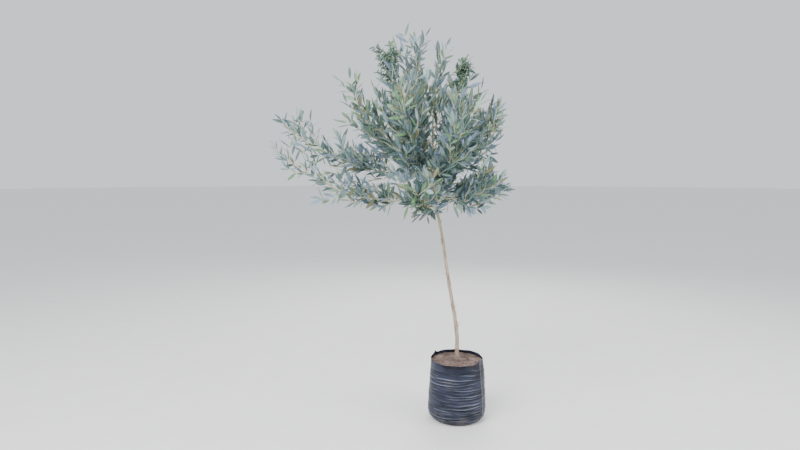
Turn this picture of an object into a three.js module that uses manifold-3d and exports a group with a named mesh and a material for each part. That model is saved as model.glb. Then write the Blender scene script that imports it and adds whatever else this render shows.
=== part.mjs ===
// Potted olive tree: a young olive grown as a standard, in a black polythene grow bag.
// Millimetres, +Z up, +X to the right and +Y to the back.
// The origin is the middle of the bag's flat underside.

import * as THREE from 'three';
import { mergeVertices } from 'three/addons/utils/BufferGeometryUtils.js';
import Module from 'manifold-3d';

const wasm = await Module();
wasm.setup();

// Grow bag and soil
const BAG_HEIGHT = 366;
const BAG_BELLY = 346;              // widest diameter, just above the rounded bottom edge
const BAG_MOUTH = 310;              // diameter at the rim
const BAG_FOOT = 262;               // diameter of the flat underside
const BAG_CORNER = 52;              // height of the rounded bottom edge
const TAPER_BEND = 1.25;            // above 1 the side bows out a little on its way up
const FILM = 1.6;                   // film with its folds pressed flat
const BULGE = 0.014;                // share of the radius by which the bag is out of round
const BULGE_TWO = { share: 0.6, phase: 0.7 };
const BULGE_THREE = { share: 0.4, rise: 110 };  // this one turns as it climbs
const SOIL_LEVEL = 350;             // soil surface at the stem
const SOIL_FALL = 7;                // how far the soil is lower at the film
const SOIL_FLAT = 90;               // diameter of the level soil round the stem
const BAG_SIDES = 28;
const CORNER_RINGS = 3;
const SIDE_RINGS = 5;
const CLEARANCE = 0.3;              // between neighbouring solids

// Trunk, with heights taken from the soil
const TRUNK_LENGTH = 1400;
const TRUNK_FOOT_RADIUS = 12;
const TRUNK_TIP_RADIUS = 5;
const FLARE = 5;                    // extra radius of the root flare at the soil
const FLARE_HEIGHT = 26;
const TRUNK_LEAN = 155;             // how far the trunk has moved to the left where the boughs begin
const LEAN_HEIGHT = 1250;
const TRUNK_SIDES = 10;
const FLARE_RINGS = [0, 8, 20, 40, 80];
const FLARE_END = 140;
const TRUNK_RINGS = 18;             // above the flare
const TRUNK_WAVE = 4;               // sideways waves of the stem
const TRUNK_WAVE_LENGTH = 600;
const TRUNK_DEPTH_WAVE = 6;         // and its waves to the front and back
const TRUNK_DEPTH_LENGTH = 860;
const WAVE_START = 120;
const STUB_HEIGHTS = [185, 330, 455, 560, 700, 815];
const STUB_LENGTH = 6;
const STUB_RADII = [2.6, 2.2];
const STUB_SIDES = 6;
const STUB_RISE = 55;
const STUB_TURN = 137;              // degrees round the trunk from one pruned stub to the next

// Boughs, each carrying one mass of foliage on a stem that grows on from its tip.
// from is the height on the trunk, and heading is 0 to the right and 90 to the back. rise is the
// climb at the trunk and tipRise the climb past the turn, which is turn long. bough and stem are
// lengths, and spread is the reach of the side twigs.
const BOUGHS = [
  ['low_left', 960, 181, -5, 33, 880, 370, 560, 125],
  ['mid_left', 1100, 171, 0, 34, 900, 340, 580, 125],
  ['arch_left', 1190, 188, 10, 70, 620, 210, 450, 125],
  ['outer_left', 1235, 202, 14, 88, 430, 190, 430, 115],
  ['inner_left', 1270, 150, 30, 90, 360, 130, 400, 115],
  ['near_left', 1305, 218, 45, 90, 300, 110, 410, 110],
  ['top_right', 1360, 12, 44, 72, 280, 80, 290, 95],
  ['short_right', 1250, 338, 36, 66, 280, 80, 210, 90],
  ['arch_right', 1175, 4, 4, 62, 440, 150, 290, 115],
  ['low_right', 975, 326, -5, 30, 440, 140, 260, 115],
  ['front_right', 1040, 290, 10, 66, 480, 150, 400, 120],
  ['front_left', 1120, 240, 16, 78, 460, 150, 430, 120],
  ['back_right', 1135, 52, 14, 76, 460, 150, 440, 120],
  ['back_left', 1060, 122, 10, 70, 480, 160, 430, 120],
  ['back_low', 1000, 84, -2, 34, 480, 160, 320, 120],
  ['front_low', 925, 254, -4, 28, 480, 150, 300, 120],
  ['side_low', 950, 26, -3, 30, 440, 130, 240, 115],
].map(([name, from, heading, rise, tipRise, turn, bough, stem, spread]) => (
  { name, from, heading, rise, tipRise, turn, bough, stem, spread }));
const LEADER = {
  name: 'leader', heading: 0, rise: 86, tipRise: 74, turn: 400, bough: 0, stem: 390, spread: 110,
};
const BOUGH_SHARE = 0.62;           // bough radius as a share of the trunk's radius there
const BOUGH_TIP_RADIUS = 3;
const COLLAR = 1.2;                 // extra radius where a bough leaves the trunk
const COLLAR_LENGTH = 18;
const BOUGH_SIDES = 6;
const BOUGH_RING_GAP = 60;
const SWAY = 7;                     // degrees that a limb sways from its heading
const SWAY_LENGTH = 380;
const LINE_STEP = 10;               // spacing of the points on a limb's line
const STEEP = 0.8;                  // climb past which a line counts as upright

// Foliage: opposite pairs of side twigs on each stem, and opposite pairs of leaves on both
const SEED_SPREAD = 2654435761;
const SEED_FACTOR = 1664525;
const SEED_STEP = 1013904223;
const LINE_SEED = 100;
const TWIG_SEED = 200;
const LEAF_SEED = 300;
const STEM_TIP_RADIUS = 1.9;
const STEM_SIDES = 4;
const STEM_RINGS = 6;
const TWIG_FIRST = 30;              // stem length before its first pair of twigs
const TWIG_SPACING = 122;
const TWIG_ANGLE = [38, 60];        // degrees from the stem
const TWIG_LENGTH = [0.75, 1.1];    // as a share of the spread
const TWIG_TAPERING = 0.55;         // how much shorter the twigs are at the stem's tip
const TWIG_LIFT = 0.2;              // how strongly a twig turns up
const TWIG_RADII = [2.6, 2];
const TWIG_SIDES = 3;
const SLIVER = 0.3;                 // shorter edges are closed up where solids are joined
const LEAF_LENGTH = [110, 136];
const LEAF_WIDTH = 0.27;            // as a share of the length
const LEAF_THICKNESS = 3.2;
const LEAF_WIDEST = 0.42;           // where along its length a leaf is widest
const LEAF_THICKEST = 0.16;         // and where it is thickest, near its root
const LEAF_ANGLE = [34, 56];        // degrees from the twig
const LEAF_TWIST = 25;
const LEAF_PLACE = 0.5;             // where along a twig its pair of leaves sits
const TIP_LEAF_ANGLE = [4, 14];     // of the single leaf at a twig's tip
const TIP_INSET = 6;                // from a stem's tip to the roots of its last leaves
const TEST_PLACE = 0.7;             // where between its widest point and tip a leaf is tested
const LEAF_SINK = 1.8;              // depth of a leaf's root past the twig's middle
const PAIR_TURN = 90;               // degrees round the stem from one pair to the next
const PAIR_JITTER = 14;
const SPACE_MARGIN = 3;             // every point keeps this much nearer its own stem than any other
const TWIG_CLEARANCE = 12;          // between a twig's middle and the middle of another limb
const LEAF_CLEARANCE = 17;
const ROOT_ZONE = 28;               // length at the root that isn't measured against the limbs

// Finishes
const finishes = {
  film: new THREE.MeshStandardMaterial({ color: 0x2b2f38, roughness: 0.38, metalness: 0 }),
  soil: new THREE.MeshStandardMaterial({ color: 0x8a7467, roughness: 0.95, metalness: 0 }),
  bark: new THREE.MeshStandardMaterial({ color: 0x8f8371, roughness: 0.85, metalness: 0 }),
  foliage: new THREE.MeshStandardMaterial({ color: 0x6f8374, roughness: 0.6, metalness: 0 }),
};

const tree = new THREE.Group();
tree.name = 'potted_olive_tree';

// The same draws for the same seed, from a linear congruential generator
function seededRandom(seed) {
  let state = Math.imul(seed, SEED_SPREAD) >>> 0;
  return (low, high) => {
    state = (Math.imul(state, SEED_FACTOR) + SEED_STEP) >>> 0;
    return low + (high - low) * state / 2 ** 32;
  };
}

// Geometry to solid and back

function solidOf(geometry) {
  geometry.deleteAttribute('normal');
  geometry.deleteAttribute('uv');
  const merged = mergeVertices(geometry);
  return new wasm.Manifold(new wasm.Mesh({
    numProp: 3,
    vertProperties: new Float32Array(merged.attributes.position.array),
    triVerts: new Uint32Array(merged.index.array),
  }));
}

function addPart(name, solid, material) {
  const { vertProperties, triVerts } = largestBody(solid.asOriginal().simplify(SLIVER)).getMesh();
  const geometry = new THREE.BufferGeometry();
  geometry.setAttribute('position', new THREE.BufferAttribute(vertProperties, 3));
  geometry.setIndex(new THREE.BufferAttribute(triVerts, 1));
  geometry.computeVertexNormals();
  const mesh = new THREE.Mesh(geometry, material);
  mesh.name = name;
  tree.add(mesh);
}

// Bag and soil

function sideRadius(height) {
  const climb = (height - BAG_CORNER) / (BAG_HEIGHT - BAG_CORNER);
  return (BAG_BELLY - (BAG_BELLY - BAG_MOUTH) * climb ** TAPER_BEND) / 2;
}

// Half section from the edge of the underside up to a height, set in from the bag's outside
function bagSection(inset, top) {
  const section = [];
  const cornerOut = sideRadius(BAG_CORNER) - BAG_FOOT / 2;
  for (let ring = 0; ring < CORNER_RINGS; ring++) {
    const angle = ring / CORNER_RINGS * Math.PI / 2;
    section.push(new THREE.Vector2(
      BAG_FOOT / 2 + (cornerOut - inset) * Math.sin(angle),
      inset + (BAG_CORNER - inset) * (1 - Math.cos(angle)),
    ));
  }
  const soilEdge = SOIL_LEVEL - SOIL_FALL;
  for (let ring = 0; ring <= SIDE_RINGS; ring++) {
    const height = BAG_CORNER + (soilEdge - BAG_CORNER) * ring / SIDE_RINGS;
    section.push(new THREE.Vector2(sideRadius(height) - inset, height));
  }
  if (top > soilEdge) {
    section.push(new THREE.Vector2(BAG_MOUTH / 2 - inset, top));
  }
  return section;
}

// Turns a closed half section about Z, a little out of round above the underside
function turned(section) {
  const geometry = new THREE.LatheGeometry(section, BAG_SIDES);
  geometry.rotateX(Math.PI / 2);
  const position = geometry.attributes.position;
  for (let i = 0; i < position.count; i++) {
    const [x, y, z] = [position.getX(i), position.getY(i), position.getZ(i)];
    const angle = Math.atan2(y, x);
    const slump = THREE.MathUtils.smoothstep(z, 0, BAG_CORNER);
    const waves = BULGE_TWO.share * Math.sin(2 * angle + BULGE_TWO.phase)
      + BULGE_THREE.share * Math.sin(3 * angle + z / BULGE_THREE.rise);
    const factor = 1 + BULGE * slump * waves;
    position.setXY(i, x * factor, y * factor);
  }
  return geometry;
}

const axisPoint = (height) => new THREE.Vector2(0, height);

function bag() {
  const outside = bagSection(0, BAG_HEIGHT);
  const inside = bagSection(FILM, BAG_HEIGHT).reverse();
  return solidOf(turned([axisPoint(0), ...outside, ...inside, axisPoint(FILM)]));
}

function soil() {
  const inset = FILM + CLEARANCE;
  const wall = bagSection(inset, SOIL_LEVEL - SOIL_FALL);
  const level = new THREE.Vector2(SOIL_FLAT / 2, SOIL_LEVEL);
  return solidOf(turned([axisPoint(inset), ...wall, level, axisPoint(SOIL_LEVEL)]));
}

// Lines of the limbs

function direction(heading, rise) {
  const flat = Math.cos(THREE.MathUtils.degToRad(rise));
  const turn = THREE.MathUtils.degToRad(heading);
  return new THREE.Vector3(
    Math.cos(turn) * flat,
    Math.sin(turn) * flat,
    Math.sin(THREE.MathUtils.degToRad(rise)),
  );
}

function trunkPoint(height) {
  const waving = THREE.MathUtils.smoothstep(height, 0, WAVE_START);
  const sideways = TRUNK_WAVE * waving * Math.sin(2 * Math.PI * height / TRUNK_WAVE_LENGTH);
  const depthways = TRUNK_DEPTH_WAVE * waving * Math.sin(2 * Math.PI * height / TRUNK_DEPTH_LENGTH);
  const lean = TRUNK_LEAN * THREE.MathUtils.smoothstep(height, 0, LEAN_HEIGHT);
  return new THREE.Vector3(sideways - lean, depthways, SOIL_LEVEL + CLEARANCE + height);
}

function trunkRadius(height) {
  const taper = TRUNK_FOOT_RADIUS + (TRUNK_TIP_RADIUS - TRUNK_FOOT_RADIUS) * height / TRUNK_LENGTH;
  return taper + FLARE * Math.exp(-height / FLARE_HEIGHT);
}

function trunkLine() {
  const points = [];
  for (let height = 0; height <= TRUNK_LENGTH; height += LINE_STEP) {
    points.push(trunkPoint(height));
  }
  return points;
}

// Carries a line on from its last point, turning from one climb to another and swaying
function growLine(line, limb, random) {
  const phase = random(0, 2 * Math.PI);
  for (let length = 0; length < limb.bough + limb.stem; length += LINE_STEP) {
    const turnedBy = THREE.MathUtils.smoothstep(length, 0, limb.turn);
    const sway = SWAY * Math.sin(phase + 2 * Math.PI * length / SWAY_LENGTH);
    const rise = limb.rise + (limb.tipRise - limb.rise) * turnedBy + sway / 2;
    const step = direction(limb.heading + sway, rise);
    line.push(line.at(-1).clone().addScaledVector(step, LINE_STEP));
  }
  return line;
}

function pointOn(line, length) {
  const place = Math.min(length / LINE_STEP, line.length - 1);
  const index = Math.min(Math.floor(place), line.length - 2);
  return line[index].clone().lerp(line[index + 1], place - index);
}

function tangentOn(line, length) {
  const ahead = pointOn(line, length + LINE_STEP);
  const behind = pointOn(line, Math.max(length - LINE_STEP, 0));
  return ahead.sub(behind).normalize();
}

// A level direction across a line, or a fixed one across an upright line
function acrossFrom(along) {
  const helper = Math.abs(along.z) < STEEP ? new THREE.Vector3(0, 0, 1) : new THREE.Vector3(1, 0, 0);
  return helper.cross(along).normalize();
}

function stations(from, to, count) {
  return Array.from({ length: count + 1 }, (_, ring) => from + (to - from) * ring / count);
}

// A closed cylinder bent along a line, with a ring at each station
function limbSolid(line, rings, radiusAt, sides) {
  let across = acrossFrom(tangentOn(line, rings[0]));
  const frames = rings.map((length) => {
    const along = tangentOn(line, length);
    across = across.clone().addScaledVector(along, -across.dot(along)).normalize();
    return { centre: pointOn(line, length), across, beside: across.clone().cross(along) };
  });
  const geometry = new THREE.CylinderGeometry(1, 1, 1, sides, rings.length - 1);
  const position = geometry.attributes.position;
  for (let i = 0; i < position.count; i++) {
    const ring = Math.round((position.getY(i) + 0.5) * (rings.length - 1));
    const radius = radiusAt(rings[ring]);
    const { centre, across, beside } = frames[ring];
    const vertex = centre.clone()
      .addScaledVector(across, position.getX(i) * radius)
      .addScaledVector(beside, position.getZ(i) * radius);
    position.setXYZ(i, vertex.x, vertex.y, vertex.z);
  }
  return solidOf(geometry);
}

// Trunk and boughs

const trunkRings = [...FLARE_RINGS, ...stations(FLARE_END, TRUNK_LENGTH, TRUNK_RINGS)];

function stubSolid(line, height, index) {
  const foot = pointOn(line, height);
  const outward = direction(index * STUB_TURN, STUB_RISE);
  const length = trunkRadius(height) / Math.cos(THREE.MathUtils.degToRad(STUB_RISE)) + STUB_LENGTH;
  const stub = new THREE.CylinderGeometry(STUB_RADII[1], STUB_RADII[0], length, STUB_SIDES);
  stub.translate(0, length / 2, 0);
  stub.applyQuaternion(new THREE.Quaternion().setFromUnitVectors(new THREE.Vector3(0, 1, 0), outward));
  stub.translate(foot.x, foot.y, foot.z);
  return solidOf(stub);
}

function trunk(line) {
  const stem = limbSolid(line, trunkRings, trunkRadius, TRUNK_SIDES);
  return STUB_HEIGHTS.reduce((solid, height, i) => solid.add(stubSolid(line, height, i)), stem);
}

function boughRadius(limb, length) {
  const base = BOUGH_SHARE * trunkRadius(limb.from);
  const taper = base + (BOUGH_TIP_RADIUS - base) * length / limb.bough;
  return taper + COLLAR * Math.exp(-length / COLLAR_LENGTH);
}

// The bough starts on the trunk's middle line and is cut back to lie clear of the trunk's side
function bough(limb, line, trunkSleeve) {
  const rings = stations(0, limb.bough, Math.round(limb.bough / BOUGH_RING_GAP) + 1);
  const whole = limbSolid(line, rings, (length) => boughRadius(limb, length), BOUGH_SIDES);
  return whole.subtract(trunkSleeve);
}

// Foliage

function nearest(point, line) {
  return Math.min(...line.map((other) => point.distanceTo(other)));
}

// Whether every point lies in the mass's own space, which is all that is nearer its stem
function inOwnSpace(points, mass, masses) {
  return points.every((point) => {
    const own = nearest(point, mass.stemPoints);
    return masses.every((other) => other === mass || nearest(point, other.stemPoints) > own + SPACE_MARGIN);
  });
}

function clearOfLimbs(points, limbs, gap) {
  return points.every((point) => limbs.every((limb) => nearest(point, limb) > gap));
}

// A direction at an angle to an axis, on the side that a turn round the axis gives
function branchOff(along, across, turn, angle) {
  const side = across.clone().applyAxisAngle(along, THREE.MathUtils.degToRad(turn));
  const lean = THREE.MathUtils.degToRad(angle);
  return along.clone().multiplyScalar(Math.cos(lean)).addScaledVector(side, Math.sin(lean));
}

function twigLine(start, heading, length) {
  const upturned = heading.clone().setZ(heading.z + TWIG_LIFT).normalize();
  const steps = Math.ceil(length / LINE_STEP);
  const place = (i) => start.clone().addScaledVector(upturned, i * LINE_STEP);
  return Array.from({ length: steps + 1 }, (_, i) => place(i));
}

function sideTwigs(mass, masses, limbs) {
  const random = seededRandom(TWIG_SEED + mass.index);
  const twigs = [];
  const count = Math.floor((mass.stem - TWIG_FIRST) / TWIG_SPACING);
  for (let node = 0; node <= count; node++) {
    const length = mass.bough + TWIG_FIRST + node * TWIG_SPACING;
    const along = tangentOn(mass.line, length);
    const across = acrossFrom(along);
    const turn = node * PAIR_TURN + random(-PAIR_JITTER, PAIR_JITTER);
    const shortening = 1 - TWIG_TAPERING * (length - mass.bough) / mass.stem;
    for (const half of [0, 180]) {
      const heading = branchOff(along, across, turn + half, random(...TWIG_ANGLE));
      const reach = mass.spread * shortening * random(...TWIG_LENGTH);
      const line = twigLine(pointOn(mass.line, length), heading, reach);
      const outer = line.filter((_, i) => i * LINE_STEP >= ROOT_ZONE);
      if (inOwnSpace(outer, mass, masses) && clearOfLimbs(outer, limbs, TWIG_CLEARANCE)) {
        twigs.push({ line, reach: (line.length - 1) * LINE_STEP });
      }
    }
  }
  return twigs;
}

// A leaf of eight faces: root, tip, an edge point on each side, and a point above and below
function leafSolid(leaf) {
  const geometry = new THREE.OctahedronGeometry(1);
  const position = geometry.attributes.position;
  const side = leaf.face.clone().cross(leaf.along);
  for (let i = 0; i < position.count; i++) {
    const [end, edge, height] = [position.getX(i), position.getY(i), position.getZ(i)].map(Math.round);
    const tipShare = Math.max(end, 0);
    const inwards = LEAF_WIDEST * Math.abs(edge) + LEAF_THICKEST * Math.abs(height);
    const reach = leaf.length * (tipShare + inwards);
    const vertex = leaf.root.clone()
      .addScaledVector(leaf.along, reach)
      .addScaledVector(side, edge * leaf.length * LEAF_WIDTH / 2)
      .addScaledVector(leaf.face, height * LEAF_THICKNESS / 2);
    position.setXYZ(i, vertex.x, vertex.y, vertex.z);
  }
  return solidOf(geometry);
}

function leafPoints(leaf) {
  const side = leaf.face.clone().cross(leaf.along);
  const widest = leaf.root.clone().addScaledVector(leaf.along, leaf.length * LEAF_WIDEST);
  const edge = leaf.length * LEAF_WIDTH / 2;
  return [
    widest,
    widest.clone().addScaledVector(side, edge),
    widest.clone().addScaledVector(side, -edge),
    leaf.root.clone().addScaledVector(leaf.along, leaf.length * TEST_PLACE),
    leaf.root.clone().addScaledVector(leaf.along, leaf.length),
  ];
}

// The upper face of a leaf looks towards the tip of its twig
function makeLeaf(start, axis, turn, angle, length, twist) {
  const along = branchOff(axis, acrossFrom(axis), turn, angle);
  const face = axis.clone().addScaledVector(along, -axis.dot(along)).normalize();
  face.applyAxisAngle(along, THREE.MathUtils.degToRad(twist));
  return { root: start.clone().addScaledVector(along, -LEAF_SINK), along, face, length };
}

function leafPair(line, place, turn, random) {
  const axis = tangentOn(line, place);
  return [0, 180].map((half) => makeLeaf(pointOn(line, place), axis, turn + half,
    random(...LEAF_ANGLE), random(...LEAF_LENGTH), random(-LEAF_TWIST, LEAF_TWIST)));
}

function massLeaves(mass, twigs) {
  const random = seededRandom(LEAF_SEED + mass.index);
  const leaves = [];
  for (const twig of twigs) {
    leaves.push(...leafPair(twig.line, twig.reach * LEAF_PLACE, random(0, 180), random));
    const place = twig.reach - LINE_STEP;
    leaves.push(makeLeaf(pointOn(twig.line, place), tangentOn(twig.line, place), random(0, 360),
      random(...TIP_LEAF_ANGLE), random(...LEAF_LENGTH), random(0, 360)));
  }
  const count = Math.floor((mass.stem - TWIG_FIRST) / TWIG_SPACING);
  for (let node = 0; node < count; node++) {
    const place = mass.bough + TWIG_FIRST + (node + 0.5) * TWIG_SPACING;
    const turn = (node + 0.5) * PAIR_TURN + random(-PAIR_JITTER, PAIR_JITTER);
    leaves.push(...leafPair(mass.line, place, turn, random));
  }
  const tip = mass.bough + mass.stem - TIP_INSET;
  leaves.push(...leafPair(mass.line, tip, random(0, 180), random));
  leaves.push(makeLeaf(pointOn(mass.line, tip), tangentOn(mass.line, tip), 0,
    random(...TIP_LEAF_ANGLE), random(...LEAF_LENGTH), 0));
  return leaves;
}

function massSolid(mass, masses, limbs) {
  const start = mass.bough + CLEARANCE;
  const end = mass.bough + mass.stem;
  const stemRadius = (length) => mass.stemRadius
    + (STEM_TIP_RADIUS - mass.stemRadius) * (length - mass.bough) / mass.stem;
  const solids = [limbSolid(mass.line, stations(start, end, STEM_RINGS), stemRadius, STEM_SIDES)];
  for (const twig of mass.twigs) {
    const radius = (length) => TWIG_RADII[0] + (TWIG_RADII[1] - TWIG_RADII[0]) * length / twig.reach;
    solids.push(limbSolid(twig.line, [0, twig.reach], radius, TWIG_SIDES));
  }
  for (const leaf of massLeaves(mass, mass.twigs)) {
    const points = leafPoints(leaf);
    if (inOwnSpace(points, mass, masses) && clearOfLimbs(points, limbs, LEAF_CLEARANCE)) {
      solids.push(leafSolid(leaf));
    }
  }
  return wasm.Manifold.union(solids);
}

// The joined body without any loose scrap
function largestBody(solid) {
  return solid.decompose().reduce((best, body) => (body.volume() > best.volume() ? body : best));
}

// Assembly

const trunkAxis = trunkLine();

const limbs = BOUGHS.map((limb, index) => {
  const line = growLine([pointOn(trunkAxis, limb.from)], limb, seededRandom(LINE_SEED + index));
  return { ...limb, index, line, stemRadius: BOUGH_TIP_RADIUS };
});
const leaderLine = growLine([...trunkAxis], LEADER, seededRandom(LINE_SEED + BOUGHS.length));
const leader = {
  ...LEADER, index: BOUGHS.length, line: leaderLine, bough: TRUNK_LENGTH, stemRadius: TRUNK_TIP_RADIUS,
};
const sleeve = limbSolid(leaderLine, trunkRings, (height) => trunkRadius(height) + CLEARANCE, TRUNK_SIDES);

const masses = [leader, ...limbs];
for (const mass of masses) {
  mass.stemPoints = mass.line.slice(mass.bough / LINE_STEP);
}
const bareLines = [trunkAxis, ...limbs.map((limb) => limb.line.slice(0, limb.bough / LINE_STEP))];
for (const mass of masses) {
  mass.twigs = sideTwigs(mass, masses, bareLines);
}

addPart('bag', bag(), finishes.film);
addPart('soil', soil(), finishes.soil);
addPart('trunk', trunk(leaderLine), finishes.bark);
for (const limb of limbs) {
  addPart(`bough_${limb.name}`, bough(limb, limb.line, sleeve), finishes.bark);
}
for (const mass of masses) {
  addPart(`foliage_${mass.name}`, massSolid(mass, masses, bareLines), finishes.foliage);
}

export default tree;
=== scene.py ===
# Potted olive tree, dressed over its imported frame
# Metres, +Z up, +X to the right and +Y to the back, as in the frame
import math

import bpy
import numpy as np
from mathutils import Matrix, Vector, noise


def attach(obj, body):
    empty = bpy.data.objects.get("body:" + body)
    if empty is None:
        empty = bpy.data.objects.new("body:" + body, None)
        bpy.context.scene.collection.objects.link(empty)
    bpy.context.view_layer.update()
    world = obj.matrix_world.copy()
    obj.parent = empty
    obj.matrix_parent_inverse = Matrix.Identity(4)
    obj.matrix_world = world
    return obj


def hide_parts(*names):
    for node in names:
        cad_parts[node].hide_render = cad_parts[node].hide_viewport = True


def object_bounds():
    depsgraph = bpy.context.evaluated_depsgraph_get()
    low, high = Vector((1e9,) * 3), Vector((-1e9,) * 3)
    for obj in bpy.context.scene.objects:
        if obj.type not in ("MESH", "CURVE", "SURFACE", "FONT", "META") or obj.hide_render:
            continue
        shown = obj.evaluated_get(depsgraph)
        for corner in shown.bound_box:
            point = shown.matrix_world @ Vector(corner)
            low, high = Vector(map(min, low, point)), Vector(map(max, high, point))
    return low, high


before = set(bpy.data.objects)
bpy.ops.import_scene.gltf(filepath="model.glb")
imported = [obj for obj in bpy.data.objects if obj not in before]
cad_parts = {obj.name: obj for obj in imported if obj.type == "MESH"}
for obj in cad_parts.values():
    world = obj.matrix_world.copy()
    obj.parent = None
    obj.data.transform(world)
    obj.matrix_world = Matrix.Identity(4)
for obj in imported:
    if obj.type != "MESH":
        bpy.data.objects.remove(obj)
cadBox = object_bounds()
foliageNodes = sorted(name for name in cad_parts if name.startswith("foliage_"))
boughNodes = sorted(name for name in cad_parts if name.startswith("bough_"))


# Small helpers

def pick(obj):
    # obj becomes the only selected and the active object
    bpy.ops.object.select_all(action="DESELECT")
    obj.select_set(True)
    bpy.context.view_layer.objects.active = obj


def applyModifier(obj, kind, **settings):
    modifier = obj.modifiers.new(kind.lower(), kind)
    for name, value in settings.items():
        setattr(modifier, name, value)
    pick(obj)
    bpy.ops.object.modifier_apply(modifier=modifier.name)


def smoothFrom(value, low, high):
    share = np.clip((value - low) / (high - low), 0, 1)
    return share * share * (3 - 2 * share)


def readPoints(obj, what="co"):
    # the place of each vertex, or its normal
    points = np.empty(len(obj.data.vertices) * 3)
    obj.data.vertices.foreach_get(what, points)
    return points.reshape(-1, 3)


def writePoints(obj, points):
    obj.data.vertices.foreach_set("co", points.ravel())
    obj.data.update()


def roughness(points, scale, offset=0.0):
    # smooth noise from -1 to 1, with scale as bumps per metre, one number or one for each axis
    stretched = points * scale + offset
    return np.array([noise.noise(Vector(point)) for point in stretched])


def angleRound(points):
    return np.arctan2(points[:, 1], points[:, 0])


def turnFrom(place, angle):
    # how far each angle is turned from a place, up to half a turn either way
    return (angle - place + np.pi) % (2 * np.pi) - np.pi


def newPiece(name, points, faces):
    mesh = bpy.data.meshes.new(name)
    mesh.from_pydata(points.tolist(), [], faces)
    obj = bpy.data.objects.new(name, mesh)
    bpy.context.collection.objects.link(obj)
    return obj


def outwards(obj):
    pick(obj)
    bpy.ops.object.mode_set(mode="EDIT")
    bpy.ops.mesh.select_all(action="SELECT")
    bpy.ops.mesh.normals_make_consistent(inside=False)
    bpy.ops.object.mode_set(mode="OBJECT")


def shadeSmooth(obj, sharpFrom):
    pick(obj)
    bpy.ops.object.shade_smooth_by_angle(angle=math.radians(sharpFrom))


def settle(obj, slot, paints, nodes):
    # a finished piece sits at the origin, rides on the plant and stands for its nodes
    pick(obj)
    bpy.ops.object.transform_apply(location=True, rotation=True, scale=True)
    for paint in paints:
        obj.data.materials.append(paint)
    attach(obj, "root")
    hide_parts(*nodes)


# Shader maths

class Field:
    # one output in a material, so that sums of patterns read as sums
    def __init__(self, paint, socket):
        self.paint = paint
        self.socket = socket

    def maths(self, operation, first, second):
        return self.paint.node("Math", {"operation": operation}, {"Value": first, "Value_001": second})

    def __add__(self, other):
        return self.maths("ADD", self, other)

    def __radd__(self, other):
        return self.maths("ADD", other, self)

    def __sub__(self, other):
        return self.maths("SUBTRACT", self, other)

    def __rsub__(self, other):
        return self.maths("SUBTRACT", other, self)

    def __mul__(self, other):
        return self.maths("MULTIPLY", self, other)

    def __rmul__(self, other):
        return self.maths("MULTIPLY", other, self)


class Paint:
    def __init__(self, name):
        self.material = bpy.data.materials.new(name)
        self.material.use_nodes = True
        self.tree = self.material.node_tree
        self.surface = self.tree.nodes["Principled BSDF"]
        self.place = self.node("TexCoord", output="Object")

    def node(self, kind, settings=None, inputs=None, output=0):
        made = self.tree.nodes.new("ShaderNode" + kind)
        for name, value in (settings or {}).items():
            setattr(made, name, value)
        for name, value in (inputs or {}).items():
            self.feed(made, name, value)
        return Field(self, made.outputs[output])

    def feed(self, node, name, value):
        socket = next(s for s in node.inputs if s.identifier == name)
        if isinstance(value, Field):
            self.tree.links.new(value.socket, socket)
        else:
            socket.default_value = value

    def stretched(self, stretch):
        return self.node("Mapping", inputs={"Vector": self.place, "Scale": stretch})

    def noise(self, scale, detail, stretch=(1, 1, 1)):
        place = self.stretched(stretch)
        return self.node("TexNoise", inputs={"Vector": place, "Scale": scale, "Detail": detail})

    def spots(self, scale, stretch):
        return self.node("TexVoronoi", inputs={"Vector": self.stretched(stretch), "Scale": scale})

    def between(self, value, low, high):
        # 0 up to low, 1 from high on
        return self.node("MapRange", {"interpolation_type": "SMOOTHSTEP"},
                         {"Value": value, "From Min": low, "From Max": high})

    def patches(self, pattern, low, high):
        # noise as patches with soft edges, from its scale, detail and stretch
        return self.between(self.noise(*pattern), low, high)

    def height(self):
        return self.node("SeparateXYZ", inputs={"Vector": self.place}, output=2)

    def stored(self, name):
        # a value that the piece's mesh holds for each vertex
        return self.node("Attribute", {"attribute_name": name}, output=2)

    def mix(self, share, first, second):
        # between two colours, each a field or three numbers
        first, second = (shade(*side) if isinstance(side, tuple) else side for side in (first, second))
        return self.node("Mix", {"data_type": "RGBA"},
                         {"Factor_Float": share, "A_Color": first, "B_Color": second}, output=2)

    def finish(self, colour, roughness, height, strength, distance):
        self.feed(self.surface, "Base Color", colour)
        self.feed(self.surface, "Roughness", roughness)
        relief = self.node("Bump", inputs={"Height": height, "Strength": strength, "Distance": distance})
        self.feed(self.surface, "Normal", relief)
        return self.material


def shade(red, green, blue):
    # a colour as a screen shows it, 0 to 255, as the shader wants it
    def linear(value):
        value /= 255
        return value / 12.92 if value <= 0.04045 else ((value + 0.055) / 1.055) ** 2.4
    return (linear(red), linear(green), linear(blue), 1.0)


def tinted(colour, factor):
    return tuple(min(255, value * factor) for value in colour)


# Grow bag

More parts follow.
